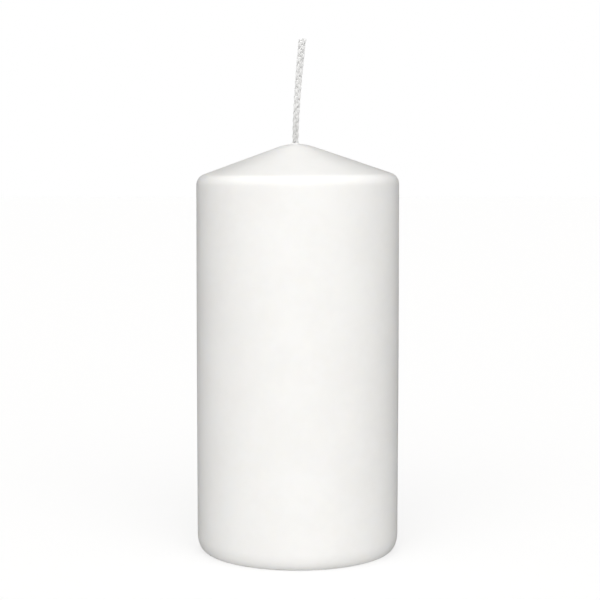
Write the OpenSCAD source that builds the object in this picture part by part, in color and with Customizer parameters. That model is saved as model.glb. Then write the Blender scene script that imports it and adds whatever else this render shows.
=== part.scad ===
// Pillar candle: a dipped wax body with a conical top and a flat plaited wick.
// The origin is the centre of the base, and +Z points up.

/* [Wax body] */
// Outside diameter of the candle
candle_d = 70; // [60:1:90]
// Height from the base to where the side would meet the cone
side_h = 130; // [100:1:170]
// Slope of the conical top, in degrees from level
top_slope = 19.4; // [14:0.1:24]
// Radius of the rounded tip of the cone
tip_r = 20; // [14:1:24]
// Radius of the shoulder between the side and the cone
shoulder_r = 4; // [3:0.5:6]
// Radius of the edge round the base
foot_r = 4; // [3:0.1:4.5]
// Thickness of the dipped skin
skin_t = 1.5; // [1:0.1:2]

/* [Wick] */
// Length of wick that stands above the tip of the wax
wick_out = 36; // [15:0.5:45]
// Distance of the wick from the candle's axis, along X
wick_x = -0.75; // [-1:0.05:1]
// Distance that the free end leans over, along X
wick_lean = 2.45; // [0:0.05:4]
// Angle that the flat wick has turned through at the wax
wick_turn = 15; // [0:1:60]
// Width of the wick at the wax, as a share of its width at the cut end
root_spread = 0.8; // [0.8:0.05:1]
// Width of one strand, which the plait presses flat
strand_w = 0.9; // [0.7:0.05:0.9]
// Thickness of one strand
strand_t = 0.55; // [0.4:0.05:0.55]
// Swing of a strand's centre across the width of the plait
swing_w = 0.95; // [0.9:0.05:1]
// Swing of a strand's centre through the thickness of the plait
swing_t = 0.5; // [0.5:0.01:0.56]
// Length of one full plait
plait_pitch = 8; // [7.5:0.5:10]

/* [Wick clip] */
// Diameter of the clip's disc
clip_d = 20; // [16:1:25]
// Thickness of the clip's steel
clip_t = 0.3; // [0.25:0.05:0.4]
// Height of the neck that grips the wick
neck_h = 6; // [4:0.5:8]
// Gap between the clip and the surface that the candle stands on
clip_lift = 0.6; // [0.5:0.1:0.8]
// Depth of the recess in the base
recess_h = 1.6; // [1.4:0.1:2]

/* [Hidden] */
$fn = 96;

arc_steps = 8;                      // straight edges in each rounded corner of an outline
foot_cut_w = 4;                     // width of the bevel round the core's base
rim_gap = 0.6;                      // wax between the clip's rim and the recess
plait_clear = 0.05;                 // room between the plait and what surrounds it
edge_hold = 0.2;                    // how much a strand keeps to the edge of the plait
collar_r = 0.8;                     // hollow curve of the wax that climbs the wick
collar_lip = 0.15;                  // width of that collar's upper edge
collar_sink = 0.25;                 // depth that the collar starts below the tip
collar_root = 1;                    // depth that the collar reaches into the skin
bend_power = 1.6;                   // how late the wick's lean and turn come on
strand_sides = 6;                   // sides of a strand's section
rings_per_pitch = 12;               // sections of a strand in one full plait

body_r = candle_d / 2;
top_angle = 90 - top_slope;
shoulder_c = [body_r - shoulder_r, side_h - shoulder_r * (1 - sin(top_slope)) / cos(top_slope)];
tip_c = [0, side_h + (body_r * sin(top_slope) - tip_r) / cos(top_slope)];
foot_c = [body_r - foot_r, foot_r];
tip_z = tip_c[1] + tip_r;
wick_hole_r = root_spread * (swing_w + strand_w / 2) + plait_clear;
bore_r = wick_hole_r + clip_t;
neck_top = clip_lift + clip_t + neck_h;
clip_r = clip_d / 2;
recess_r = clip_r + rim_gap;
wick_len = tip_z + wick_out - clip_lift;
ring_count = ceil(wick_len / plait_pitch * rings_per_pitch);

function arc(centre, r, from, to) =
    [for (i = [0:arc_steps]) let (a = from + (to - from) * i / arc_steps) centre + r * [cos(a), sin(a)]];
function reversed(list) = [for (i = [len(list) - 1:-1:0]) list[i]];
function unit(v) = v / norm(v);

// The side's upper end, the shoulder, the cone and the tip, at a depth under the outer surface
function top_outline(depth) =
    concat(arc(shoulder_c, shoulder_r - depth, 0, top_angle), arc(tip_c, tip_r - depth, top_angle, 90));

// The core's side and its bevelled foot
function core_foot() = [[body_r - skin_t - foot_cut_w, 0], [body_r - skin_t, foot_r]];

// How far the wick has leant and turned at height z, from 0 at the wax to 1 at its free end
function ease(z) = pow(max(0, z - tip_z) / wick_out, bend_power);

// The direction across the flat of the wick at height z
function flat_way(z) = let (turn = wick_turn * (1 - ease(z))) [cos(turn), sin(turn), 0];

// How wide the flat wick is at height z, as a share of its width at the cut end
function spread(z) = root_spread + (1 - root_spread) * ease(z);

// Centre of a strand at height z: a flattened sine across the plait and one of twice the rate
// through it
function strand_centre(z, phase) =
    let (a = 360 * z / plait_pitch + phase,
         across = flat_way(z),
         through = [-across.y, across.x, 0],
         reach = spread(z) * (sin(a) + edge_hold * sin(3 * a)))
    [wick_x + wick_lean * ease(z), 0, z] + swing_w * reach * across + swing_t * sin(2 * a) * through;

// One section of a strand: an ellipse square to the strand's path, with its width across the plait
function strand_ring(z, phase) =
    let (step = plait_pitch / rings_per_pitch / 2,
         along = unit(strand_centre(z + step, phase) - strand_centre(z - step, phase)),
         across = flat_way(z),
         side = unit(across - (across * along) * along),
         up = cross(side, along))
    [for (k = [0:strand_sides - 1]) let (a = 360 * k / strand_sides)
        strand_centre(z, phase) + spread(z) * strand_w / 2 * cos(a) * side
            + strand_t / 2 * sin(a) * up];

module strand(phase) {
    points = [for (i = [0:ring_count]) each strand_ring(clip_lift + wick_len * i / ring_count, phase)];
    walls = [for (i = [0:ring_count - 1], k = [0:strand_sides - 1])
        let (next = (k + 1) % strand_sides, low = i * strand_sides, high = low + strand_sides)
        each [[low + k, low + next, high + next], [low + k, high + next, high + k]]];
    bottom = [for (k = [strand_sides - 1:-1:0]) k];
    top = [for (k = [0:strand_sides - 1]) ring_count * strand_sides + k];
    polyhedron(points = points, faces = concat(walls, [bottom, top]), convexity = 10);
}

module wick_hole(r) {
    translate([wick_x, 0, -1]) cylinder(r = r, h = tip_z + 2);
}

module core() {
    color("#efede4")
    difference() {
        rotate_extrude() polygon(concat([[0, 0]], core_foot(), top_outline(skin_t)));
        wick_hole(bore_r);
        translate([wick_x, 0, -1]) cylinder(r = recess_r, h = recess_h + 1);
    }
}

module collar() {
    foot = tip_z - collar_sink;
    rise = arc([wick_hole_r + collar_lip + collar_r, foot + collar_r], collar_r, 270, 180);
    root = [[wick_hole_r, foot - collar_root], [wick_hole_r + collar_lip + collar_r, foot - collar_root]];
    translate([wick_x, 0, 0])
    rotate_extrude() polygon(concat(root, rise, [[wick_hole_r, foot + collar_r]]));
}

module outer_coat() {
    skin = concat(arc(foot_c, foot_r, -90, 0), top_outline(0), reversed(top_outline(skin_t)),
                  reversed(core_foot()));
    color("#fbfaf7") {
        difference() {
            rotate_extrude() polygon(skin);
            wick_hole(wick_hole_r);
        }
        collar();
    }
}

module wick_strand_a() {
    color("#dededc") strand(0);
}

module wick_strand_b() {
    color("#e6e6e4") strand(120);
}

module wick_strand_c() {
    color("#d6d6d4") strand(240);
}

module channel_wax() {
    top = tip_z - skin_t - 1;
    color("#f4f2ea")
    translate([wick_x, 0, neck_top])
    difference() {
        cylinder(r = bore_r, h = top - neck_top);
        translate([0, 0, -1]) cylinder(r = wick_hole_r, h = top - neck_top + 2);
    }
}

module wick_clip() {
    color("silver")
    translate([wick_x, 0, clip_lift])
    difference() {
        union() {
            cylinder(r = clip_r, h = clip_t);
            cylinder(r = bore_r, h = clip_t + neck_h);
        }
        translate([0, 0, -1]) cylinder(r = wick_hole_r, h = clip_t + neck_h + 2);
    }
}

module base_seal() {
    disc_top = clip_lift + clip_t;
    color("#f4f2ea")
    translate([wick_x, 0, 0])
    rotate_extrude()
    polygon([[bore_r, disc_top], [clip_r, disc_top], [clip_r, clip_lift], [recess_r, clip_lift],
             [recess_r, recess_h], [bore_r, recess_h]]);
}

core();
outer_coat();
wick_strand_a();
wick_strand_b();
wick_strand_c();
channel_wax();
wick_clip();
base_seal();
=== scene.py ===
"""A plain white pillar candle with a plaited wick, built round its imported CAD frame.

Everything is in metres, +Z up, with the origin at the centre of the base. The sizes that follow
the CAD model are read from the frame's boxes; the others are fields of the class that uses them.
"""

import logging
import math
from dataclasses import dataclass
from enum import Enum

import bpy
import numpy as np
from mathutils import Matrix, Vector
from numpy.typing import NDArray


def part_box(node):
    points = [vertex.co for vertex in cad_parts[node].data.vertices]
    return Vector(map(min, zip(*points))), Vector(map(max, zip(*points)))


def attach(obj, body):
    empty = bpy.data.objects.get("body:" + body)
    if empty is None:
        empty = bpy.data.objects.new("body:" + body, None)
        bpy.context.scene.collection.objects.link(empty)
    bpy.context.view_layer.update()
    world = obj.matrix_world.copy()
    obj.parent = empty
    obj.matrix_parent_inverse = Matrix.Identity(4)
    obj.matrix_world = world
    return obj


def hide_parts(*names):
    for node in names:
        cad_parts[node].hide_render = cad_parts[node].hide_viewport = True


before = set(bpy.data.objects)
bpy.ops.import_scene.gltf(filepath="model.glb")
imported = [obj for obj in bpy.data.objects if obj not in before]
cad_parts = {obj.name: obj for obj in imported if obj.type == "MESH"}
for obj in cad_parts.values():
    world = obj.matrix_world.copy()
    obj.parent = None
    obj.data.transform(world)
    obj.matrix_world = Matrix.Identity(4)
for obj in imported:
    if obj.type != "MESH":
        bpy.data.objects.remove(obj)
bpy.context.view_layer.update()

Array = NDArray[np.float64]
Socket = bpy.types.NodeSocket
MM = 0.001
BODY = "root"
SHARP_ANGLE = math.radians(38)
log = logging.getLogger("candle")


# ---------------------------------------------------------------- meshes


def circle_angles(count: int) -> Array:
    """Even angles round a circle, in radians.

    Args:
        count: How many angles.

    Returns:
        The angles, from 0 up to but not including a full turn.
    """
    return np.linspace(0.0, 2.0 * math.pi, count, endpoint=False)


def smooth_step(low: float, high: float, x: Array) -> Array:
    """The cubic that rises from 0 at low to 1 at high: 3t^2 - 2t^3.

    Args:
        low: Where it leaves 0.
        high: Where it reaches 1.
        x: Where to read it.

    Returns:
        The cubic's values at x.
    """
    t = np.clip((x - low) / (high - low), 0.0, 1.0)
    return t * t * (3.0 - 2.0 * t)


def unit(v: Array) -> Array:
    """Vectors along the last axis, scaled to length 1.

    Args:
        v: The vectors.

    Returns:
        The scaled vectors, in the shape of v.
    """
    return v / np.linalg.norm(v, axis=-1, keepdims=True)


def arc(centre: tuple[float, float], radius: float, start: float, end: float, steps: int) -> Array:
    """Points of a circular arc in the (radius, height) plane.

    Args:
        centre: The arc's centre.
        radius: The arc's radius.
        start: First angle, in degrees from the outward direction.
        end: Last angle, in degrees.
        steps: How many stretches between the points.

    Returns:
        The points, one row each.
    """
    a = np.radians(np.linspace(start, end, steps + 1))
    return np.stack([centre[0] + radius * np.cos(a), centre[1] + radius * np.sin(a)], axis=1)


def run(start: tuple[float, float], end: tuple[float, float], steps: int) -> Array:
    """Points along a straight line in the (radius, height) plane, without its two ends.

    Args:
        start: Where the line begins.
        end: Where the line ends.
        steps: How many stretches the line is cut into.

    Returns:
        The points between the ends, one row each.
    """
    t = np.linspace(0.0, 1.0, steps + 1)[1:-1, None]
    return (1.0 - t) * np.asarray(start) + t * np.asarray(end)


def ring_quads(rows: int, columns: int, closed: bool) -> tuple[Array, Array]:
    """Quads of a grid whose columns close into rings, with the places of their corners.

    A quad joins point (i, j) to (i, j+1), (i+1, j+1) and (i+1, j), so it faces outwards where
    rows climb and columns turn anticlockwise.

    Args:
        rows: Rings in the grid.
        columns: Points in a ring.
        closed: Whether the last ring joins the first.

    Returns:
        The quads as point numbers, and each corner's (column, row) counted without wrapping.
    """
    last = rows if closed else rows - 1
    i, j = np.meshgrid(np.arange(last), np.arange(columns), indexing="ij")
    step_i = np.array([0, 0, 1, 1])
    step_j = np.array([0, 1, 1, 0])
    row = i[..., None] + step_i
    column = j[..., None] + step_j
    quads = (row % rows) * columns + column % columns
    return quads.reshape(-1, 4), np.stack([column, row], axis=-1).reshape(-1, 4, 2)


def make_piece(name: str, points: Array, faces: list[Array], uv: Array | None = None) -> bpy.types.Object:
    """A smooth-shaded mesh object at the origin.

    Args:
        name: The piece's name.
        points: Its points, one row each.
        faces: Arrays of faces, each array with faces of one size.
        uv: One (u, v) per face corner, in the order of faces.

    Returns:
        The new object, linked to the scene.
    """
    corners = np.concatenate([f.ravel() for f in faces]).astype(np.int32)
    sizes = np.concatenate([np.full(len(f), f.shape[1]) for f in faces])
    starts = np.concatenate([[0], np.cumsum(sizes)[:-1]]).astype(np.int32)
    mesh = bpy.data.meshes.new(name)
    mesh.vertices.add(len(points))
    mesh.vertices.foreach_set("co", points.astype(np.float32).ravel())
    mesh.loops.add(len(corners))
    mesh.loops.foreach_set("vertex_index", corners)
    mesh.polygons.add(len(starts))
    mesh.polygons.foreach_set("loop_start", starts)
    mesh.update(calc_edges=True)
    if uv is not None:
        layer = mesh.uv_layers.new(name="UVMap")
        layer.data.foreach_set("uv", uv.astype(np.float32).ravel())
    mesh.validate()
    mesh.shade_smooth()
    mesh.set_sharp_from_angle(angle=SHARP_ANGLE)
    piece = bpy.data.objects.new(name, mesh)
    bpy.context.scene.collection.objects.link(piece)
    return piece


def lathe_points(path: Array, angles: Array, shift: Array | float = 0.0) -> Array:
    """Turns an outline about the vertical axis.

    Point (i, j) is (shift_i + r cos a_j, r sin a_j, z), where (r, z) is path point i, or path
    point (i, j) where the outline changes round the turn.

    Args:
        path: Outline points, shaped (rows, 2) or (rows, columns, 2).
        angles: The angles round the axis.
        shift: How far each row's centre stands from the axis along X.

    Returns:
        Points shaped (rows, columns, 3).
    """
    flat = path if path.ndim == 3 else np.repeat(path[:, None, :], len(angles), axis=1)
    offset = np.broadcast_to(np.asarray(shift), (len(path),))[:, None]
    x = offset + flat[..., 0] * np.cos(angles)
    y = flat[..., 0] * np.sin(angles)
    return np.stack([x, y, flat[..., 1]], axis=-1)


def tube_bundle(name: str, rings: Array) -> bpy.types.Object:
    """A mesh of closed tubes, each ended by a fan of triangles on a pole.

    Args:
        name: The piece's name.
        rings: Section points shaped (tubes, rings, sides, 3), anticlockwise seen from the end.

    Returns:
        The piece, with u counting round each tube, plus one per tube, and v along it in millimetres.
    """
    tubes, count, sides, _ = rings.shape
    centres = rings.mean(axis=2)
    length = np.linalg.norm(np.diff(centres, axis=1), axis=2)
    along = np.concatenate([np.zeros((tubes, 1)), np.cumsum(length, axis=1)], axis=1) / MM
    per_tube = count * sides
    body = rings.reshape(-1, 3)
    poles = centres[:, [0, -1]].reshape(-1, 3)
    quads, places = ring_quads(count, sides, closed=False)
    first = np.arange(tubes)[:, None, None] * per_tube
    walls = (quads[None] + first).reshape(-1, 4)
    u = places[None, ..., 0] / sides + np.arange(tubes)[:, None, None]
    v = along[np.arange(tubes)[:, None, None], places[None, ..., 1]]
    wall_uv = np.stack([u, v], axis=-1).reshape(-1, 2)
    j = np.arange(sides)
    follow = (j + 1) % sides
    base = np.arange(tubes)[:, None] * per_tube
    low_pole = np.broadcast_to(tubes * per_tube + 2 * np.arange(tubes)[:, None], (tubes, sides))
    top = (count - 1) * sides
    low_fan = np.stack([low_pole, base + follow, base + j], axis=-1).reshape(-1, 3)
    high_fan = np.stack([low_pole + 1, base + top + j, base + top + follow], axis=-1).reshape(-1, 3)
    fan_uv = np.zeros((2 * tubes * sides * 3, 2))
    fan_uv[:, 0] = np.tile(np.repeat(np.arange(tubes), sides * 3), 2)
    return make_piece(
        name,
        np.concatenate([body, poles]),
        [walls, np.concatenate([low_fan, high_fan])],
        np.concatenate([wall_uv, fan_uv]),
    )


# ---------------------------------------------------------------- shader trees


class Tree:
    """Adds and joins the nodes of one shader tree."""

    def __init__(self, tree: bpy.types.NodeTree) -> None:
        """Starts on a tree.

        Args:
            tree: The tree to add to.
        """
        self.tree = tree

    def add(self, kind: str, **settings: object) -> bpy.types.Node:
        """Adds a node.

        Args:
            kind: The node's type name, without its ShaderNode prefix.
            **settings: Properties to set on it.

        Returns:
            The new node.
        """
        node = self.tree.nodes.new("ShaderNode" + kind)
        for key, value in settings.items():
            setattr(node, key, value)
        return node

    def plug(self, socket: Socket, value: object) -> None:
        """Sets or joins one input.

        Args:
            socket: The input.
            value: A number, a colour or the socket to join it to.
        """
        if isinstance(value, Socket):
            self.tree.links.new(value, socket)
        else:
            socket.default_value = value

    def feed(self, node: bpy.types.Node, **inputs: object) -> None:
        """Sets or joins a node's inputs.

        Args:
            node: The node to feed.
            **inputs: Input names, with _ for a space, and a number, colour or socket for each.
        """
        for key, value in inputs.items():
            self.plug(node.inputs[key.replace("_", " ")], value)

    def sum_of(self, operation: str, *terms: object) -> Socket:
        """The result of a Math node.

        Args:
            operation: The node's operation, such as MULTIPLY.
            *terms: Its inputs, each a number or a socket.

        Returns:
            The node's output socket.
        """
        node = self.add("Math", operation=operation)
        for socket, term in zip(node.inputs, terms):
            self.plug(socket, term)
        return node.outputs[0]

    def noise(self, place: Socket, scale: object, detail: float) -> Socket:
        """A noise texture's value.

        Args:
            place: The vector that it reads.
            scale: Its scale, a number or a socket.
            detail: Its number of octaves.

        Returns:
            The value, from 0 to 1.
        """
        node = self.add("TexNoise", noise_dimensions="3D")
        self.feed(node, Vector=place, Scale=scale, Detail=detail)
        return node.outputs["Fac"]

    def stretched(self, place: Socket, scale: tuple[float, float, float]) -> Socket:
        """A place with each axis scaled.

        Args:
            place: The vector to scale.
            scale: The factors along X, Y and Z.

        Returns:
            The scaled vector.
        """
        node = self.add("Mapping")
        self.feed(node, Vector=place, Scale=scale)
        return node.outputs[0]

    def ranged(self, value: object, low: float, high: float, to: tuple[float, float]) -> Socket:
        """A value mapped smoothly from one range to another.

        Args:
            value: The socket to map.
            low: The value that maps to the first end.
            high: The value that maps to the second end.
            to: The two ends.

        Returns:
            The mapped value.
        """
        node = self.add("MapRange", interpolation_type="SMOOTHSTEP")
        self.feed(node, Value=value, From_Min=low, From_Max=high, To_Min=to[0], To_Max=to[1])
        return node.outputs[0]

    def blended(self, factor: object, first: object, second: object) -> Socket:
        """Two colours mixed.

        Args:
            factor: 0 for the first colour and 1 for the second.
            first: A colour or a socket.
            second: A colour or a socket.

        Returns:
            The mixed colour.
        """
        node = self.add("Mix", data_type="RGBA")
        for name, value in (("Factor_Float", factor), ("A_Color", first), ("B_Color", second)):
            self.plug(next(s for s in node.inputs if s.identifier == name), value)
        return next(s for s in node.outputs if s.identifier == "Result_Color")

    def place_group(self, group: bpy.types.NodeTree, **inputs: object) -> bpy.types.Node:
        """Adds a shader node group and feeds it.

        Args:
            group: The group to place.
            **inputs: Its inputs, as for feed.

        Returns:
            The group's node.
        """
        node = self.add("Group", node_tree=group)
        self.feed(node, **inputs)
        return node


class Effects:
    """The shader node groups that several finishes share, each built once."""

    def __init__(self) -> None:
        """Builds every group."""
        self.mottle = self._mottle()
        self.relief = self._relief()
        self.scuffs = self._scuffs()
        self.grains = self._grains()
        self.yarn = self._yarn()

    @staticmethod
    def _start(
        name: str, inputs: dict[str, str], outputs: list[str]
    ) -> tuple[Tree, bpy.types.Node, bpy.types.Node]:
        """An empty group with its sockets.

        Args:
            name: The group's name.
            inputs: Socket types by input name.
            outputs: Names of its value outputs.

        Returns:
            The group's tree, its input node and its output node.
        """
        group = bpy.data.node_groups.new(name, "ShaderNodeTree")
        for label, kind in inputs.items():
            group.interface.new_socket(name=label, in_out="INPUT", socket_type="NodeSocket" + kind)
        for label in outputs:
            group.interface.new_socket(name=label, in_out="OUTPUT", socket_type="NodeSocketFloat")
        start = group.nodes.new("NodeGroupInput")
        end = group.nodes.new("NodeGroupOutput")
        return Tree(group), start, end

    def _mottle(self) -> bpy.types.NodeTree:
        """Cloudy variation: a coarse noise at the given scale, with one six times finer over it.

        Returns:
            The group.
        """
        t, start, end = self._start("cloudy_mottle", {"Place": "Vector", "Scale": "Float"}, ["Mask"])
        coarse = t.noise(start.outputs["Place"], start.outputs["Scale"], 2.0)
        fine_scale = t.sum_of("MULTIPLY", start.outputs["Scale"], 6.0)
        fine = t.noise(start.outputs["Place"], fine_scale, 3.0)
        both = t.sum_of("MULTIPLY_ADD", fine, 0.35, t.sum_of("MULTIPLY", coarse, 0.65))
        t.tree.links.new(t.ranged(both, 0.35, 0.65, (0.0, 1.0)), end.inputs["Mask"])
        return t.tree

    def _relief(self) -> bpy.types.NodeTree:
        """Height of cooled wax: a soft orange peel, with long faint runs down the side.

        Returns:
            The group.
        """
        inputs = {"Place": "Vector", "Peel": "Float", "Runs": "Float"}
        t, start, end = self._start("set_wax_relief", inputs, ["Height"])
        place = start.outputs["Place"]
        peel = t.noise(place, 420.0, 2.0)
        ripple = t.noise(place, 90.0, 1.0)
        runs = t.noise(t.stretched(place, (1.0, 1.0, 0.06)), 260.0, 2.0)
        height = t.sum_of("MULTIPLY", peel, start.outputs["Peel"])
        height = t.sum_of("MULTIPLY_ADD", runs, start.outputs["Runs"], height)
        height = t.sum_of("MULTIPLY_ADD", ripple, start.outputs["Peel"], height)
        t.tree.links.new(height, end.inputs["Height"])
        return t.tree

    def _scuffs(self) -> bpy.types.NodeTree:
        """Handling wear: broken, dulled patches between two heights, strongest at the lower one.

        Returns:
            The group.
        """
        inputs = {"Place": "Vector", "Low": "Float", "High": "Float"}
        t, start, end = self._start("handling_scuffs", inputs, ["Mask"])
        place = start.outputs["Place"]
        split = t.add("SeparateXYZ")
        t.feed(split, Vector=place)
        band = t.add("MapRange")
        t.feed(band, Value=split.outputs["Z"], To_Min=1.0, To_Max=0.0)
        t.feed(band, From_Min=start.outputs["Low"], From_Max=start.outputs["High"])
        patches = t.ranged(t.noise(place, 190.0, 5.0), 0.46, 0.62, (0.0, 1.0))
        t.tree.links.new(t.sum_of("MULTIPLY", band.outputs[0], patches), end.inputs["Mask"])
        return t.tree

    def _grains(self) -> bpy.types.NodeTree:
        """Pressed granules: cells with dark joints between them and a tone of their own.

        Returns:
            The group.
        """
        inputs = {"Place": "Vector", "Scale": "Float"}
        t, start, end = self._start("pressed_grains", inputs, ["Joints", "Tone"])
        edge = t.add("TexVoronoi", feature="DISTANCE_TO_EDGE")
        t.feed(edge, Vector=start.outputs["Place"], Scale=start.outputs["Scale"])
        cell = t.add("TexVoronoi", feature="F1")
        t.feed(cell, Vector=start.outputs["Place"], Scale=start.outputs["Scale"])
        tone = t.add("SeparateColor")
        t.feed(tone, Color=cell.outputs["Color"])
        t.tree.links.new(t.ranged(edge.outputs["Distance"], 0.0, 0.12, (0.0, 1.0)), end.inputs["Joints"])
        t.tree.links.new(tone.outputs[0], end.inputs["Tone"])
        return t.tree

    def _yarn(self) -> bpy.types.NodeTree:
        """Fibres of a yarn: fine streaks that wind along it, from (u round it, v along it).

        Returns:
            The group.
        """
        t, start, end = self._start("yarn_fibres", {"Place": "Vector", "Wind": "Float"}, ["Fibres"])
        split = t.add("SeparateXYZ")
        t.feed(split, Vector=start.outputs["Place"])
        wound = t.sum_of("MULTIPLY_ADD", split.outputs["Y"], start.outputs["Wind"], split.outputs["X"])
        joined = t.add("CombineXYZ")
        t.feed(joined, X=wound, Y=t.sum_of("MULTIPLY", split.outputs["Y"], 0.25))
        t.tree.links.new(t.noise(joined.outputs[0], 9.0, 3.0), end.inputs["Fibres"])
        return t.tree


def new_material(name: str) -> tuple[bpy.types.Material, Tree, bpy.types.Node]:
    """A material with one Principled shader.

    Args:
        name: The material's name.

    Returns:
        The material, its tree and its Principled node.
    """
    material = bpy.data.materials.new(name)
    material.use_nodes = True
    material.node_tree.nodes.clear()
    tree = Tree(material.node_tree)
    shader = tree.add("BsdfPrincipled")
    end = tree.add("OutputMaterial")
    tree.feed(end, Surface=shader.outputs["BSDF"])
    return material, tree, shader


@dataclass(frozen=True)
class WaxFinish:
    """Paraffin wax: pale, faintly cloudy and slightly see-through.

    Fields: the clear and the cloudy tint, roughness, how far light travels in it in metres, how
    much of the shading is that travel, and the heights of its relief in metres. grain_scale is
    the number of pressed granules to a metre, or 0 for poured and dipped wax. wear_top is how
    high up the wear from handling goes.
    """

    name: str
    clear: tuple[float, float, float, float]
    cloudy: tuple[float, float, float, float]
    roughness: float
    travel: float
    glow: float
    peel: float
    runs: float
    grain_scale: float = 0.0
    wear_top: float = 4.0 * MM

    def make(self, effects: Effects) -> bpy.types.Material:
        """Builds the material.

        Args:
            effects: The shared node groups.

        Returns:
            The material.
        """
        material, t, shader = new_material(self.name)
        place = t.add("TexCoord").outputs["Object"]
        cloud = t.place_group(effects.mottle, Place=place, Scale=55.0).outputs["Mask"]
        colour = t.blended(cloud, self.clear, self.cloudy)
        scuffs = t.place_group(effects.scuffs, Place=place, Low=0.0, High=self.wear_top).outputs["Mask"]
        height = t.place_group(effects.relief, Place=place, Peel=self.peel, Runs=self.runs).outputs["Height"]
        rough = t.sum_of("MULTIPLY_ADD", cloud, 0.06, self.roughness)
        rough = t.sum_of("MULTIPLY_ADD", scuffs, 0.18, rough)
        if self.grain_scale:
            grains = t.place_group(effects.grains, Place=place, Scale=self.grain_scale)
            seams = t.sum_of("MULTIPLY", grains.outputs["Joints"], 0.10)
            shade = t.sum_of("MULTIPLY_ADD", grains.outputs["Tone"], 0.10, seams)
            bright = t.sum_of("ADD", shade, 0.82)
            colour = t.blended(bright, (0.0, 0.0, 0.0, 1.0), colour)
            height = t.sum_of("MULTIPLY_ADD", grains.outputs["Joints"], 0.05 * MM, height)
        bump = t.add("Bump")
        t.feed(bump, Height=height, Strength=1.0, Distance=1.0)
        t.feed(shader, Base_Color=colour, Roughness=rough, IOR=1.44, Normal=bump.outputs[0])
        t.feed(shader, Subsurface_Weight=self.glow, Subsurface_Scale=self.travel)
        t.feed(shader, Subsurface_Radius=(1.0, 0.9, 0.75))
        return material


@dataclass(frozen=True)
class CottonFinish:
    """Cotton yarn primed with wax: grey-white fibres, duller and darker where wax has soaked in.

    Fields: the dry and the soaked tint, the heights between which the soaking fades, roughness,
    and the depth of the fibre relief in metres.
    """

    name: str
    dry: tuple[float, float, float, float]
    soaked: tuple[float, float, float, float]
    soak_low: float
    soak_high: float
    roughness: float
    fibre_depth: float

    def make(self, effects: Effects) -> bpy.types.Material:
        """Builds the material.

        Args:
            effects: The shared node groups.

        Returns:
            The material.
        """
        material, t, shader = new_material(self.name)
        coord = t.add("TexCoord")
        fibres = t.place_group(effects.yarn, Place=coord.outputs["UV"], Wind=0.9).outputs["Fibres"]
        cloud = t.place_group(effects.mottle, Place=coord.outputs["Object"], Scale=260.0).outputs["Mask"]
        split = t.add("SeparateXYZ")
        t.feed(split, Vector=coord.outputs["Object"])
        uneven = t.sum_of("MULTIPLY_ADD", cloud, 4.0 * MM, split.outputs["Z"])
        dryness = t.ranged(uneven, self.soak_low, self.soak_high, (0.0, 1.0))
        colour = t.blended(dryness, self.soaked, self.dry)
        streak = t.ranged(fibres, 0.3, 0.7, (0.94, 1.0))
        colour = t.blended(streak, (0.25, 0.25, 0.24, 1.0), colour)
        rough = t.sum_of("MULTIPLY_ADD", dryness, 0.18, self.roughness)
        bump = t.add("Bump")
        t.feed(bump, Height=t.sum_of("MULTIPLY", fibres, self.fibre_depth), Strength=1.0, Distance=1.0)
        t.feed(shader, Base_Color=colour, Roughness=rough, IOR=1.45, Normal=bump.outputs[0])
        t.feed(shader, Sheen_Weight=0.05, Subsurface_Weight=0.6, Subsurface_Scale=0.5 * MM)
        t.feed(shader, Subsurface_Radius=(1.0, 1.0, 1.0))
        return material


@dataclass(frozen=True)
class TinFinish:
    """Tinned steel sheet: bright, with fine lathe-like lines and a few dull patches."""

    name: str
    bright: tuple[float, float, float, float]
    dull: tuple[float, float, float, float]
    roughness: float

    def make(self, effects: Effects) -> bpy.types.Material:
        """Builds the material.

        Args:
            effects: The shared node groups.

        Returns:
            The material.
        """
        material, t, shader = new_material(self.name)
        place = t.add("TexCoord").outputs["Object"]
        cloud = t.place_group(effects.mottle, Place=place, Scale=420.0).outputs["Mask"]
        lines = t.noise(t.stretched(place, (1.0, 0.05, 1.0)), 2600.0, 2.0)
        rough = t.sum_of("MULTIPLY_ADD", lines, 0.12, self.roughness)
        rough = t.sum_of("MULTIPLY_ADD", cloud, 0.10, rough)
        bump = t.add("Bump")
        t.feed(bump, Height=t.sum_of("MULTIPLY", lines, 0.004 * MM), Strength=1.0, Distance=1.0)
        t.feed(shader, Base_Color=t.blended(cloud, self.bright, self.dull), Metallic=1.0, Roughness=rough)
        t.feed(shader, Normal=bump.outputs[0])
        return material


class Wax(Enum):
    """The waxes of the candle, each with its finish."""

    DIPPED = WaxFinish(
        name="dipped_wax",
        clear=(0.905, 0.900, 0.885, 1.0),
        cloudy=(0.925, 0.921, 0.908, 1.0),
        roughness=0.30,
        travel=0.6 * MM,
        glow=0.2,
        peel=0.0035 * MM,
        runs=0.003 * MM,
    )
    PRESSED = WaxFinish(
        name="pressed_wax",
        clear=(0.86, 0.85, 0.82, 1.0),
        cloudy=(0.90, 0.892, 0.865, 1.0),
        roughness=0.55,
        travel=0.8 * MM,
        glow=0.3,
        peel=0.02 * MM,
        runs=0.0,
        grain_scale=620.0,
    )
    RUN = WaxFinish(
        name="run_wax",
        clear=(0.88, 0.87, 0.84, 1.0),
        cloudy=(0.91, 0.90, 0.875, 1.0),
        roughness=0.3,
        travel=1.2 * MM,
        glow=0.5,
        peel=0.01 * MM,
        runs=0.0,
    )


def dress(piece: bpy.types.Object, material: bpy.types.Material) -> None:
    """Gives a piece one material.

    Args:
        piece: The object to dress.
        material: Its material.
    """
    piece.data.materials.clear()
    piece.data.materials.append(material)


def hand_over(piece: bpy.types.Object, node: str) -> None:
    """Hangs a finished piece on the body, hides the CAD node that it stands for and logs its size.

    Args:
        piece: The finished piece.
        node: The CAD node that it replaces.
    """
    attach(piece, BODY)
    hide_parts(node)
    log.info("%s: %d points for %s", piece.name, len(piece.data.vertices), node)


# ---------------------------------------------------------------- the candle's shape


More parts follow.
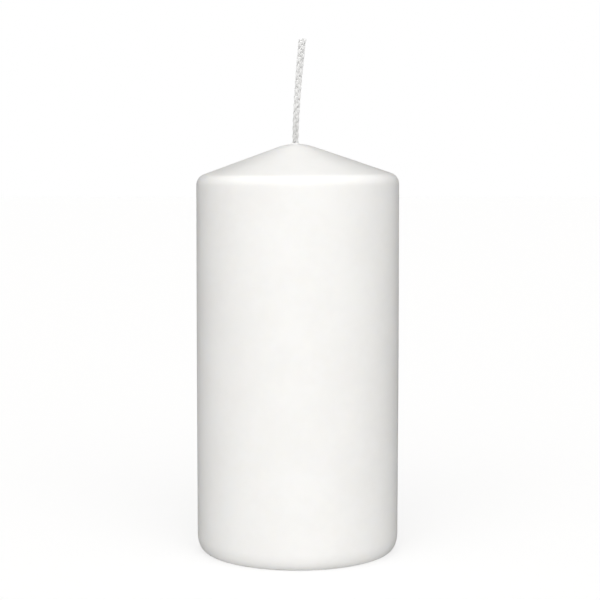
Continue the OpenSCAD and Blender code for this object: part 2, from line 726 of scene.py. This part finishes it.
@dataclass(frozen=True)
class WaxOutline:
    """The outline of the wax body in the (radius, height) plane, as the CAD model draws it."""

    radius: float
    side_height: float = 130.0 * MM
    slope: float = 19.4
    tip_radius: float = 20.0 * MM
    shoulder_radius: float = 4.0 * MM
    foot_radius: float = 4.0 * MM
    skin: float = 1.5 * MM
    foot_cut: float = 4.0 * MM

    @property
    def shoulder_centre(self) -> tuple[float, float]:
        """Centre of the shoulder's arc.

        Returns:
            Its radius and height.
        """
        s, c = math.sin(math.radians(self.slope)), math.cos(math.radians(self.slope))
        drop = self.shoulder_radius * (1.0 - s) / c
        return self.radius - self.shoulder_radius, self.side_height - drop

    @property
    def tip_centre(self) -> tuple[float, float]:
        """Centre of the tip's arc.

        Returns:
            Its radius and height.
        """
        s, c = math.sin(math.radians(self.slope)), math.cos(math.radians(self.slope))
        return 0.0, self.side_height + (self.radius * s - self.tip_radius) / c

    @property
    def tip_height(self) -> float:
        """Height of the wax on its axis, without the collar round the wick.

        Returns:
            The height.
        """
        return self.tip_centre[1] + self.tip_radius

    def top(self, depth: float, inner_radius: float, fine: bool) -> Array:
        """The shoulder, the cone and the tip, at a depth under the outer surface.

        Args:
            depth: Distance under the outer surface.
            inner_radius: Radius at which the tip's arc stops.
            fine: Whether to cut it as finely as a surface that shows.

        Returns:
            The points, from the top of the side to the tip.
        """
        turn = 90.0 - self.slope
        steps = 14 if fine else 4
        tip_r = self.tip_radius - depth
        stop = math.degrees(math.acos(inner_radius / tip_r))
        shoulder = arc(self.shoulder_centre, self.shoulder_radius - depth, 0.0, turn, steps)
        tip = arc(self.tip_centre, tip_r, turn, stop, steps)
        cone = run(tuple(shoulder[-1]), tuple(tip[0]), 30 if fine else 4)
        return np.concatenate([shoulder, cone, tip])

    def foot_bevel(self) -> Array:
        """The bevel between the core and the skin at the base.

        Returns:
            Its lower and upper points.
        """
        side = self.radius - self.skin
        return np.array([[side - self.foot_cut, 0.0], [side, self.foot_radius]])


@dataclass(frozen=True)
class DippedSkin:
    """The dipped skin: a closed shell whose outside has the small unevenness of set wax.

    The outside is the outline turned about the axis, with each row's centre moved towards the
    wick as it nears the tip, and pushed in and out by a few long waves.
    """

    outline: WaxOutline
    wick_x: float
    collar_height: float
    opening: tuple[float, float] = (1.10 * MM, 0.80 * MM)
    opening_turn: float = 15.0
    columns: int = 288
    wave: float = 0.035 * MM
    tilt: float = 0.2 * MM
    foot_roll: tuple[float, float] = (3.0 * MM, 5.8 * MM)
    collar_width: float = 1.6 * MM
    crown_drop: float = 0.12 * MM

    def outside(self) -> Array:
        """Outline of what shows, from the rim of the base to the foot of the collar.

        The foot is a quarter of an ellipse, taller than it is wide.

        Returns:
            The points, one row each.
        """
        o = self.outline
        rim = (o.radius - o.skin - o.foot_cut, 0.0)
        foot = arc((0.0, 0.0), 1.0, -90.0, 0.0, 18) * self.foot_roll
        foot += (o.radius - self.foot_roll[0], self.foot_roll[1])
        top = o.top(0.0, self.collar_width + self.opening[0], fine=True)
        side = run(tuple(foot[-1]), tuple(top[0]), 70)
        return np.concatenate([[rim], run(rim, tuple(foot[0]), 4), foot, side, top])

    def waves(self, path: Array, angles: Array) -> Array:
        """How far the outside stands out: a sum of waves round the candle and up it.

        Args:
            path: The outline's points.
            angles: The angles round the axis.

        Returns:
            The push in metres, shaped (rows, columns), and 0 on the base.
        """
        rng = np.random.default_rng(7)
        around = np.arange(1, 9)
        climb = rng.uniform(-60.0, 60.0, around.size)
        phase = rng.uniform(0.0, 2.0 * math.pi, around.size)
        size = self.wave / np.sqrt(around)
        z = path[:, 1][:, None, None]
        turns = np.cos(around * angles[None, :, None] + climb * z + phase)
        return (turns * size).sum(axis=2) * smooth_step(0.0, 6.0 * MM, path[:, 1])[:, None]

    def build(self) -> bpy.types.Object:
        """Builds the shell.

        Returns:
            The piece.
        """
        o = self.outline
        angles = circle_angles(self.columns)
        path = self.outside()
        push = self.waves(path, angles)
        normal = unit(np.gradient(path, axis=0))[:, ::-1] * [1.0, -1.0]
        spread = path[:, None, :] + push[..., None] * normal[:, None, :]
        nearness = 1.0 - np.clip(path[:, 0] / o.shoulder_centre[0], 0.0, 1.0)
        nearness *= path[:, 1] > o.shoulder_centre[1]
        shift = self.wick_x * nearness
        outer = lathe_points(spread, angles, shift)
        lean = smooth_step(0.9 * o.side_height, o.side_height, outer[..., 2])
        outer[..., 2] += self.tilt * lean * outer[..., 0] / o.radius
        collar = self.collar(outer[-1], angles)
        inside = self.inside(angles)
        points = np.concatenate([outer, collar, inside])
        rows = len(points)
        quads, _ = ring_quads(rows, self.columns, closed=True)
        return make_piece("dipped_skin", points.reshape(-1, 3), [quads])

    def collar(self, edge: Array, angles: Array) -> Array:
        """The wax that climbs the wick, from the tip's last ring to the wick's own outline.

        Radius falls evenly from the ring to an ellipse round the plait, and height rises as the
        fourth power of the way there, so the wax leaves the tip flat and meets the wick steeply.

        Args:
            edge: The last ring of the tip.
            angles: The angles round the wick.

        Returns:
            Points shaped (rows, columns, 3), ending down the wick's hole.
        """
        a = angles - math.radians(self.opening_turn)
        long, short = self.opening
        reach = long * short / np.sqrt((short * np.cos(a)) ** 2 + (long * np.sin(a)) ** 2)
        hole = np.stack([self.wick_x + reach * np.cos(angles), reach * np.sin(angles)], axis=-1)
        t = np.linspace(0.0, 1.0, 15)[1:, None, None]
        flat = (1.0 - t) * edge[None, :, :2] + t * hole[None]
        crown = self.outline.tip_height - self.crown_drop
        level = (1.0 - t[..., 0]) * edge[None, :, 2] + t[..., 0] * crown
        uneven = 1.0 + 0.25 * np.cos(2.0 * angles + 0.8) + 0.12 * np.cos(5.0 * angles)
        rise = self.collar_height * uneven * t[..., 0] ** 4
        skirt = np.concatenate([flat, (level + rise)[..., None]], axis=-1)
        wall = np.repeat(skirt[-1:], 3, axis=0)
        floor = self.outline.tip_height - self.outline.skin
        wall[:, :, 2] += (floor - wall[:, :, 2]) * np.array([0.15, 0.6, 1.0])[:, None]
        return np.concatenate([skirt, wall])

    def inside(self, angles: Array) -> Array:
        """The inner wall, against the core, from the wick's hole down to the rim of the base.

        Args:
            angles: The angles round the axis.

        Returns:
            Points shaped (rows, columns, 3).
        """
        o = self.outline
        top = o.top(o.skin, self.collar_width, fine=False)[::-1]
        bevel = o.foot_bevel()
        side = run(tuple(top[-1]), tuple(bevel[1]), 8)
        path = np.concatenate([top, side, bevel[1:]])
        near = 1.0 - np.clip(path[:, 0] / o.shoulder_centre[0], 0.0, 1.0)
        return lathe_points(path, angles, self.wick_x * near)


@dataclass(frozen=True)
class PressedCore:
    """The pressed core: granules of wax squeezed together, planed flat at the base."""

    outline: WaxOutline
    wick_x: float
    recess_radius: float
    recess_depth: float
    bore_radius: float
    columns: int = 384
    base_rows: int = 62
    granule: float = 1.5 * MM
    joint_depth: float = 0.16 * MM
    joint_width: float = 0.2 * MM

    def joints(self, x: Array, y: Array) -> Array:
        """Depth of the joints between granules on the planed base.

        Each point is compared with its nearest and second nearest granule centres: the joint is
        deepest where the two are equally far, and gone joint_width away from there.

        Args:
            x: Places along X.
            y: Places along Y.

        Returns:
            The depths in metres, in the shape of x.
        """
        rng = np.random.default_rng(11)
        reach = self.outline.radius
        side = int(2.0 * reach / self.granule)
        lattice = (np.arange(side) + 0.5) * self.granule - reach
        gx, gy = np.meshgrid(lattice, lattice)
        jitter = rng.uniform(-0.5, 0.5, (2, side, side)) * self.granule
        gx, gy = gx + jitter[0], gy + jitter[1]
        cell_x = np.floor((x + reach) / self.granule).astype(int)
        cell_y = np.floor((y + reach) / self.granule).astype(int)
        step = np.arange(-2, 3)
        sx, sy = (s.ravel() for s in np.meshgrid(step, step))
        near_x = np.clip(cell_x[..., None] + sx, 0, side - 1)
        near_y = np.clip(cell_y[..., None] + sy, 0, side - 1)
        away = np.hypot(gx[near_y, near_x] - x[..., None], gy[near_y, near_x] - y[..., None])
        away = np.sort(away, axis=-1)
        fade = 1.0 - smooth_step(0.0, self.joint_width, away[..., 1] - away[..., 0])
        return self.joint_depth * fade

    def build(self) -> bpy.types.Object:
        """Builds the core as one closed surface round its bore.

        Returns:
            The piece.
        """
        o = self.outline
        angles = circle_angles(self.columns)
        rim, bevel_top = o.foot_bevel()
        t = np.linspace(0.0, 1.0, self.base_rows)[:, None]
        base_r = (1.0 - t[:, 0]) * self.recess_radius + t[:, 0] * rim[0]
        disc = np.stack([base_r, np.zeros_like(base_r)], axis=1)
        base = lathe_points(disc, angles, self.wick_x * (1.0 - t[:, 0]))
        worn = smooth_step(0.0, 0.8 * MM, rim[0] - base_r)[:, None]
        base[..., 2] = self.joints(base[..., 0], base[..., 1]) * worn
        top = o.top(o.skin, self.bore_radius, fine=False)
        side = run(tuple(bevel_top), tuple(top[0]), 8)
        path = np.concatenate([[bevel_top], side, top])
        near = 1.0 - np.clip(path[:, 0] / o.shoulder_centre[0], 0.0, 1.0)
        shell = lathe_points(path, angles, self.wick_x * near)
        bore_top = (self.bore_radius, o.tip_height - o.skin - 0.1 * MM)
        roof = (self.bore_radius, self.recess_depth)
        lip = (self.recess_radius, self.recess_depth)
        edge = (self.recess_radius, 0.25 * MM)
        bore = [[bore_top], run(bore_top, roof, 6), [roof]]
        recess = [run(roof, lip, 5), [lip], [edge]]
        inner = np.concatenate(bore + recess)
        hollow = lathe_points(inner, angles, self.wick_x)
        points = np.concatenate([base, shell, hollow])
        quads, _ = ring_quads(len(points), self.columns, closed=True)
        return make_piece("pressed_core", points.reshape(-1, 3), [quads])


class Strand(Enum):
    """The three strands of the plait, with their phase in degrees."""

    A = 0.0
    B = 120.0
    C = 240.0


@dataclass(frozen=True)
class PlaitedWick:
    """The flat wick: three strands of seven twisted yarns, plaited, leaning and cut on the slant.

    A strand's centre swings across the plait as sin a + edge_hold sin 3a, which keeps it at the
    edge for a while, and through it as sin 2a, where a is its angle. Above the wax the wick leans
    over, widens and turns its flat side forward.
    """

    bottom: float
    wax_top: float
    top: float
    axis_x: float = -0.75 * MM
    lean: float = 2.45 * MM
    turn: float = 15.0
    root_spread: float = 0.8
    bend_power: float = 1.6
    swing_width: float = 0.84 * MM
    swing_depth: float = 0.40 * MM
    edge_hold: float = 0.2
    pitch: float = 8.0 * MM
    edge_section: tuple[float, float] = (0.54 * MM, 0.42 * MM)
    middle_section: tuple[float, float] = (0.74 * MM, 0.32 * MM)
    twist_pitch: float = 6.5 * MM
    slant: float = 0.9 * MM
    flare: float = 0.18
    flare_reach: float = 0.6 * MM
    fray: float = 0.09 * MM
    fray_reach: float = 0.9 * MM
    yarn_sides: int = 12
    yarn_home: float = 0.50
    yarn_size: float = 0.50
    fibres: int = 90

    def ease(self, z: Array) -> Array:
        """How far the wick has leant and turned: the way up from the wax, raised to a power.

        Args:
            z: The heights.

        Returns:
            0 at the wax, rising to 1 at the cut end.
        """
        way = np.maximum(z - self.wax_top, 0.0) / (self.top - self.wax_top)
        return way ** self.bend_power

    def spread(self, z: Array) -> Array:
        """How wide the flat of the wick is.

        Args:
            z: The heights.

        Returns:
            Shares of its width at the cut end.
        """
        return self.root_spread + (1.0 - self.root_spread) * self.ease(z)

    def flat_way(self, z: Array) -> Array:
        """The direction across the flat of the wick.

        Args:
            z: The heights.

        Returns:
            Unit vectors, shaped as z with 3 added.
        """
        turn = math.radians(self.turn) * (1.0 - self.ease(z))
        return np.stack([np.cos(turn), np.sin(turn), np.zeros_like(z)], axis=-1)

    def thick_way(self, z: Array) -> Array:
        """The direction through the thickness of the wick.

        Args:
            z: The heights.

        Returns:
            Unit vectors, shaped as z with 3 added.
        """
        across = self.flat_way(z)
        return np.stack([-across[..., 1], across[..., 0], np.zeros_like(z)], axis=-1)

    def spine(self, z: Array) -> Array:
        """Middle of the wick at each height.

        Args:
            z: The heights.

        Returns:
            The points, shaped as z with 3 added.
        """
        return np.stack([self.axis_x + self.lean * self.ease(z), np.zeros_like(z), z], axis=-1)

    def centre(self, z: Array, phase: float) -> Array:
        """Centre of a strand at each height.

        Args:
            z: The heights.
            phase: The strand's phase in degrees.

        Returns:
            The points, shaped as z with 3 added.
        """
        a = 2.0 * math.pi * z / self.pitch + math.radians(phase)
        reach = self.spread(z) * (np.sin(a) + self.edge_hold * np.sin(3.0 * a))
        swing = self.swing_width * reach[..., None] * self.flat_way(z)
        return self.spine(z) + swing + self.swing_depth * np.sin(2.0 * a)[..., None] * self.thick_way(z)

    def heights(self) -> Array:
        """Heights of a strand's sections, closer together where the wick shows.

        Returns:
            The heights, from the clip up.
        """
        hidden = np.linspace(self.bottom, self.wax_top - 2.0 * MM, 170, endpoint=False)
        return np.concatenate([hidden, np.linspace(self.wax_top - 2.0 * MM, self.top, 250)])

    def build_strand(self, strand: Strand) -> bpy.types.Object:
        """Builds one strand as seven yarns twisted round each other.

        In the strand's section, stretched to a unit circle, a yarn is a circle of radius yarn_size
        round a centre at radius yarn_home, which turns with height; the first yarn stays in the
        middle. The circles overlap, because priming wax fills the grooves between the yarns.

        Args:
            strand: Which strand.

        Returns:
            The piece.
        """
        rng = np.random.default_rng(21 + list(Strand).index(strand))
        yarns = 7
        z = self.heights()
        spare = self.cut_spare(strand, rng, yarns)
        share = (self.top - spare - self.bottom) / (self.top - self.bottom)
        z = self.bottom + (z[None, :] - self.bottom) * share[:, None]
        middle = self.centre(z, strand.value)
        along = unit(np.gradient(middle, axis=1))
        across = self.flat_way(z)
        side = unit(across - (across * along).sum(axis=-1, keepdims=True) * along)
        up = np.cross(along, side)
        edge = np.abs(np.sin(2.0 * math.pi * z / self.pitch + math.radians(strand.value)))[..., None]
        half = edge * np.asarray(self.edge_section) + (1.0 - edge) * np.asarray(self.middle_section)
        half = half * np.stack([self.spread(z), np.ones_like(z)], axis=-1)
        from_end = z[:, -1:] - z
        half = half * (1.0 + self.flare * np.exp(-from_end / self.flare_reach))[..., None]
        home = np.concatenate([[0.0], np.full(yarns - 1, self.yarn_home)])[:, None]
        start = np.concatenate([[0.0], 2.0 * math.pi * np.arange(yarns - 1) / (yarns - 1)])[:, None]
        bearing = start + 2.0 * math.pi * z / self.twist_pitch
        yarn = np.stack([home * np.cos(bearing), home * np.sin(bearing)], axis=-1)
        section = circle_angles(self.yarn_sides)
        round_yarn = self.yarn_size * np.stack([np.cos(section), np.sin(section)], axis=-1)
        fray = rng.normal(0.0, self.fray, (yarns, 1, 2)) * np.exp(-from_end / self.fray_reach)[..., None]
        flat = (yarn[:, :, None, :] + round_yarn) * half[:, :, None, :] + fray[:, :, None, :]
        rings = middle[:, :, None] + flat[..., :1] * side[:, :, None] + flat[..., 1:] * up[:, :, None]
        return tube_bundle("plait_strand_" + strand.name.lower(), rings)

    def cut_spare(self, strand: Strand, rng: np.random.Generator, yarns: int) -> Array:
        """How far below the wick's highest point each yarn is cut.

        The cut slants down towards the -X edge, and each yarn ends a little off it.

        Args:
            strand: Which strand.
            rng: The source of the small differences.
            yarns: How many yarns.

        Returns:
            One length per yarn, in metres.
        """
        end = self.centre(np.array([self.top]), strand.value)[0, 0] - self.axis_x - self.lean
        reach = self.swing_width + self.edge_section[0]
        return self.slant * 0.5 * (1.0 - end / reach) + rng.uniform(0.0, 0.25 * MM, yarns)

    def build_fibres(self) -> bpy.types.Object:
        """Builds the loose fibres that stand off the wick, mostly near its cut end.

        Each is a thin tube along a parabola that leaves the wick's surface outwards and bends up.

        Returns:
            The piece.
        """
        rng = np.random.default_rng(5)
        count = self.fibres
        low = self.wax_top + 2.0 * MM
        z = low + (self.top - 0.7 * MM - low) * rng.uniform(0.0, 1.0, count) ** 0.55
        bearing = rng.uniform(0.0, 2.0 * math.pi, count)[:, None]
        out = 1.0 * MM * np.cos(bearing) * self.flat_way(z) + 0.6 * MM * np.sin(bearing) * self.thick_way(z)
        length = rng.uniform(0.3 * MM, 0.9 * MM, count)[:, None, None]
        t = np.linspace(0.0, 1.0, 8)[None, :, None]
        drift = rng.normal(0.0, 0.5, (count, 1, 3))
        heading = unit(out)[:, None, :] + 0.6 * drift
        bend = np.array([0.0, 0.0, 1.0]) * rng.uniform(0.2, 1.0, (count, 1, 1)) + 0.5 * drift[..., ::-1]
        path = (self.spine(z) + out)[:, None, :] + length * (heading * t * 0.8 + bend * t * t * 0.6)
        path[..., 2] = np.minimum(path[..., 2], self.top - 0.05 * MM)
        along = unit(np.gradient(path, axis=1) + 1e-9)
        side = unit(np.cross(along, np.array([0.31, 0.17, 0.93])))
        up = np.cross(along, side)
        a = circle_angles(5)[:, None]
        thick = (0.016 * MM * (1.0 - 0.6 * t))[:, :, None, :]
        rings = path[:, :, None] + thick * (np.cos(a) * side[:, :, None] + np.sin(a) * up[:, :, None])
        return tube_bundle("wick_fibres", rings)


@dataclass(frozen=True)
class WickClip:
    """The sustainer: a pressed disc with two ribs and a neck crimped onto the wick."""

    low: float
    high: float
    radius: float
    neck_radius: float
    sheet: float
    centre_x: float
    columns: int = 144
    rib_height: float = 0.16 * MM
    rib_radii: tuple[float, float] = (4.6 * MM, 7.8 * MM)
    rib_half: float = 0.45 * MM
    crimps: int = 4

    def build(self) -> bpy.types.Object:
        """Builds the sheet as one closed surface: its underside, its edge, its top and the neck.

        The ribs are two smooth rings pressed upwards, and the crimps squeeze the neck towards
        its upper end as the cosine of four times the angle.

        Returns:
            The piece.
        """
        angles = circle_angles(self.columns)
        inner = self.neck_radius - self.sheet
        bend = 0.35 * MM
        radii = np.linspace(inner + bend, self.radius - 0.5 * self.sheet, 60)
        rib = self.rib_height * sum(np.exp(-(((radii - r) / self.rib_half) ** 2)) for r in self.rib_radii)
        under = np.stack([radii, self.low + rib], axis=1)
        half = 0.5 * self.sheet
        edge = arc((self.radius - half, self.low + half), half, -80.0, 80.0, 6)
        over = np.stack([radii[::-1], self.low + self.sheet + rib[::-1]], axis=1)
        over[-1, 0] = self.neck_radius + bend
        over = over[over[:, 0] >= self.neck_radius + bend]
        turn_up = arc((self.neck_radius + bend, self.low + self.sheet + bend), bend, 270.0, 180.0, 6)
        lip = arc((self.neck_radius - half, self.high - half), half, 0.0, 180.0, 6)
        up = run(tuple(turn_up[-1]), tuple(lip[0]), 16)
        down = run(tuple(lip[-1]), (inner, self.low + bend), 16)
        flare = arc((inner + bend, self.low + bend), bend, 180.0, 270.0, 5)
        path = np.concatenate([under, edge, over, turn_up[1:], up, lip, down, flare[:-1]])
        points = lathe_points(path, angles)
        height = points[..., 2]
        squeeze = smooth_step(self.low + 2.5 * MM, self.high - 1.2 * MM, height)
        squeeze *= points[..., 0] ** 2 + points[..., 1] ** 2 < (self.neck_radius + 0.1 * MM) ** 2
        pinch = 1.0 - 0.05 * squeeze * (0.5 + 0.5 * np.cos(self.crimps * angles))
        points[..., :2] *= pinch[..., None]
        points[..., 0] += self.centre_x
        quads, _ = ring_quads(len(points), self.columns, closed=True)
        return make_piece("sustainer_clip", points.reshape(-1, 3), [quads])


@dataclass(frozen=True)
class BaseSeal:
    """Wax that ran round the clip and set: it fills the recess over the disc and laps its rim."""

    centre_x: float
    disc_radius: float
    disc_low: float
    disc_high: float
    neck_radius: float
    recess_radius: float
    recess_depth: float
    columns: int = 288

    def build(self) -> bpy.types.Object:
        """Builds the seal as one closed ring with an uneven, rounded lap under the disc's rim.

        Returns:
            The piece.
        """
        angles = circle_angles(self.columns)
        rng = np.random.default_rng(3)
        around = np.arange(2, 14)
        phase = rng.uniform(0.0, 2.0 * math.pi, around.size)
        ripple = (np.cos(around * angles[:, None] + phase) / around).sum(axis=1)
        gap = 0.02 * MM
        roll = 0.14 * MM
        floor = self.disc_low - 2.0 * roll
        disc_r = self.disc_radius + gap
        lap = self.disc_radius - 0.55 * MM
        low_side = arc((lap + 0.3 * MM, self.disc_low - gap - roll), roll, 90.0, 270.0, 6)
        under = run(tuple(low_side[-1]), (self.recess_radius, floor), 5)
        outer = np.array([[self.recess_radius, floor + 0.1 * MM], [self.recess_radius, self.recess_depth]])
        bead = self.neck_radius + 0.4 * MM
        bed = self.disc_high + 0.2 * MM
        roof = np.array([[bead, self.recess_depth], [bead, bed]])
        back = run((bead, bed), (disc_r, bed), 4)
        rim = np.array([[disc_r, self.disc_high + gap], [disc_r, self.disc_low - gap]])
        path = np.concatenate([under, outer, roof, back, rim, low_side])
        grid = np.repeat(path[:, None, :], self.columns, axis=1)
        inward = smooth_step(self.recess_radius - 0.1 * MM, lap, path[:, 0]) * (path[:, 1] < self.disc_low)
        grid[..., 0] += 0.16 * MM * inward[:, None] * ripple[None, :]
        points = lathe_points(grid, angles, self.centre_x)
        quads, _ = ring_quads(len(points), self.columns, closed=True)
        return make_piece("seal_wax", points.reshape(-1, 3), [quads])


# ---------------------------------------------------------------- the studio


@dataclass(frozen=True)
class Studio:
    """A white studio: pale floor, a soft dome of light from the front and above, and the camera."""

    distance: float = 555.0 * MM
    eye_height: float = 139.8 * MM
    aim: tuple[float, float, float] = (0.84 * MM, 0.0, 97.5 * MM)
    lens: float = 96.3
    shift: float = -0.05
    floor_half: float = 4.0
    floor_gap: float = 0.1 * MM
    key_lift: float = 15.0
    key_turn: float = -0.5
    key_edge: tuple[float, float] = (0.405, 1.23)
    key_strength: float = 2.44
    fill_strength: float = 0.63
    under_strength: float = 0.1
    sheen_strength: float = 0.85

    def place_camera(self) -> None:
        """Sets the camera a little above the candle's shoulder, looking slightly down."""
        data = bpy.data.cameras.new("studio_camera")
        data.lens = self.lens
        data.sensor_width = 36.0
        data.shift_y = self.shift
        camera = bpy.data.objects.new("studio_camera", data)
        camera.location = (0.0, -self.distance, self.eye_height)
        sight = Vector(self.aim) - camera.location
        camera.rotation_mode = "QUATERNION"
        camera.rotation_quaternion = sight.to_track_quat("-Z", "Y")
        bpy.context.scene.collection.objects.link(camera)
        bpy.context.scene.camera = camera

    def lay_floor(self) -> None:
        """Lays a pale matt floor just under the base.

        It looks white to the camera, apart from soft shadow. Seen from below it is clear, and it
        lets the light that starts right above it through, so that the underside can be looked at.
        """
        h, z = self.floor_half, -self.floor_gap
        corners = np.array([[-h, -h, z], [h, -h, z], [h, h, z], [-h, h, z]])
        floor = make_piece("studio_floor", corners, [np.array([[0, 1, 2, 3]])])
        material, t, shader = new_material("studio_floor")
        t.feed(shader, Base_Color=(0.44, 0.44, 0.44, 1.0), Roughness=0.9, Specular_IOR_Level=0.1)
        glow = t.add("Emission")
        path = t.add("LightPath")
        t.feed(glow, Strength=t.sum_of("MULTIPLY", path.outputs["Is Camera Ray"], 0.6))
        both = t.add("AddShader")
        t.tree.links.new(shader.outputs["BSDF"], both.inputs[0])
        t.tree.links.new(glow.outputs[0], both.inputs[1])
        from_below = t.add("NewGeometry").outputs["Backfacing"]
        near = t.sum_of("LESS_THAN", path.outputs["Ray Length"], 4.0 * self.floor_gap)
        clear = t.add("MixShader")
        t.tree.links.new(t.sum_of("MAXIMUM", from_below, near), clear.inputs[0])
        t.tree.links.new(both.outputs[0], clear.inputs[1])
        t.tree.links.new(t.add("BsdfTransparent").outputs[0], clear.inputs[2])
        end = next(n for n in t.tree.nodes if n.type == "OUTPUT_MATERIAL")
        t.feed(end, Surface=clear.outputs[0])
        dress(floor, material)
        floor.visible_glossy = False

    def light(self) -> None:
        """Lights the room: a broad soft glow in front, a fill all round and a weak softbox.

        The fill is a little stronger from below. Glossy rays see a pale ceiling and a pale ground
        instead of the glow and the fill, and nothing at eye level.
        """
        world = bpy.data.worlds.new("studio_light")
        bpy.context.scene.world = world
        world.use_nodes = True
        world.node_tree.nodes.clear()
        t = Tree(world.node_tree)
        lift = math.radians(self.key_lift)
        turn = math.radians(self.key_turn)
        way = t.add("TexCoord").outputs["Generated"]
        facing = t.add("VectorMath", operation="DOT_PRODUCT")
        t.tree.links.new(way, facing.inputs[0])
        level = math.cos(lift)
        facing.inputs[1].default_value = (math.sin(turn) * level, -math.cos(turn) * level, math.sin(lift))
        glow = t.ranged(facing.outputs["Value"], *self.key_edge, (0.0, self.key_strength))
        split = t.add("SeparateXYZ")
        t.feed(split, Vector=way)
        under = t.sum_of("LESS_THAN", split.outputs["Z"], 0.0)
        fill = t.sum_of("MULTIPLY_ADD", under, self.under_strength, self.fill_strength)
        strength = t.sum_of("ADD", glow, fill)
        path = t.add("LightPath")
        overhead = t.ranged(split.outputs["Z"], 0.5, 0.68, (0.0, self.sheen_strength))
        sheen = t.sum_of("ADD", overhead, t.ranged(split.outputs["Z"], -0.8, -0.3, (0.9, 0.0)))
        seen = t.add("Mix")
        t.feed(seen, Factor=path.outputs["Is Glossy Ray"], A=strength, B=sheen)
        room = t.add("Background")
        t.feed(room, Color=(1.0, 0.995, 0.985, 1.0), Strength=seen.outputs[0])
        white = t.add("Background")
        t.feed(white, Color=(1.0, 1.0, 1.0, 1.0), Strength=1.0)
        choice = t.add("MixShader")
        t.tree.links.new(path.outputs["Is Camera Ray"], choice.inputs[0])
        t.tree.links.new(room.outputs[0], choice.inputs[1])
        t.tree.links.new(white.outputs[0], choice.inputs[2])
        end = t.add("OutputWorld")
        t.feed(end, Surface=choice.outputs[0])
        self.softbox("front_softbox", (-0.25, -1.3, 0.75), 0.9, 0.3)

    @staticmethod
    def softbox(name: str, place: tuple[float, float, float], size: float, watts: float) -> None:
        """Adds a square area light aimed at the middle of the candle.

        Args:
            name: The light's name.
            place: Where it hangs.
            size: The length of its side, in metres.
            watts: Its power.
        """
        data = bpy.data.lights.new(name, "AREA")
        data.size = size
        data.energy = watts
        lamp = bpy.data.objects.new(name, data)
        lamp.location = place
        lamp.rotation_mode = "QUATERNION"
        lamp.rotation_quaternion = (Vector((0.0, 0.0, 0.09)) - lamp.location).to_track_quat("-Z", "Y")
        bpy.context.scene.collection.objects.link(lamp)

    def set_up(self) -> None:
        """Makes the camera, the floor and the light."""
        self.place_camera()
        self.lay_floor()
        self.light()
        bpy.context.scene.view_settings.view_transform = "Standard"


# ---------------------------------------------------------------- the build


def build_candle() -> None:
    """Builds and dresses every piece, each on the CAD node that it stands for."""
    effects = Effects()
    wax = {kind: kind.value.make(effects) for kind in Wax}
    coat_low, coat_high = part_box("outer_coat")
    clip_low, clip_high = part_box("wick_clip")
    seal_low, seal_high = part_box("base_seal")
    channel_low, channel_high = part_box("channel_wax")
    wick_top = max(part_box("wick_strand_" + letter)[1][2] for letter in "abc")
    wick_x = 0.5 * (clip_low[0] + clip_high[0])
    outline = WaxOutline(radius=0.5 * (coat_high[0] - coat_low[0]))
    collar_height = coat_high[2] - outline.tip_height
    bore_radius = 0.5 * (channel_high[0] - channel_low[0])
    recess_radius = 0.5 * (seal_high[0] - seal_low[0])

    skin = DippedSkin(outline, wick_x, collar_height).build()
    dress(skin, wax[Wax.DIPPED])
    hand_over(skin, "outer_coat")

    core = PressedCore(outline, wick_x, recess_radius, seal_high[2], bore_radius).build()
    dress(core, wax[Wax.PRESSED])
    hand_over(core, "core")

    cotton = CottonFinish(
        name="primed_cotton",
        dry=(0.95, 0.95, 0.945, 1.0),
        soaked=(0.77, 0.77, 0.765, 1.0),
        soak_low=outline.tip_height + 6.0 * MM,
        soak_high=outline.tip_height + 17.0 * MM,
        roughness=0.5,
        fibre_depth=0.01 * MM,
    ).make(effects)
    wick = PlaitedWick(bottom=clip_low[2], wax_top=outline.tip_height, top=wick_top, axis_x=wick_x)
    for strand in Strand:
        piece = wick.build_strand(strand)
        dress(piece, cotton)
        hand_over(piece, "wick_strand_" + strand.name.lower())
    fibres = wick.build_fibres()
    dress(fibres, cotton)
    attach(fibres, BODY)

    clip = WickClip(
        low=clip_low[2],
        high=clip_high[2],
        radius=0.5 * (clip_high[0] - clip_low[0]),
        neck_radius=bore_radius,
        sheet=0.3 * MM,
        centre_x=wick_x,
    )
    clip_piece = clip.build()
    tin = TinFinish("tinned_steel", (0.80, 0.81, 0.82, 1.0), (0.62, 0.63, 0.64, 1.0), 0.22)
    dress(clip_piece, tin.make(effects))
    hand_over(clip_piece, "wick_clip")

    seal = BaseSeal(
        centre_x=wick_x,
        disc_radius=clip.radius,
        disc_low=clip.low,
        disc_high=clip.low + clip.sheet,
        neck_radius=bore_radius,
        recess_radius=recess_radius,
        recess_depth=seal_high[2],
    ).build()
    dress(seal, wax[Wax.RUN])
    hand_over(seal, "base_seal")

    dress(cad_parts["channel_wax"], wax[Wax.RUN])


def main() -> None:
    """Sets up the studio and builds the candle."""
    logging.basicConfig(level=logging.INFO, format="%(name)s: %(message)s")
    Studio().set_up()
    build_candle()


if __name__ == "__main__":
    main()
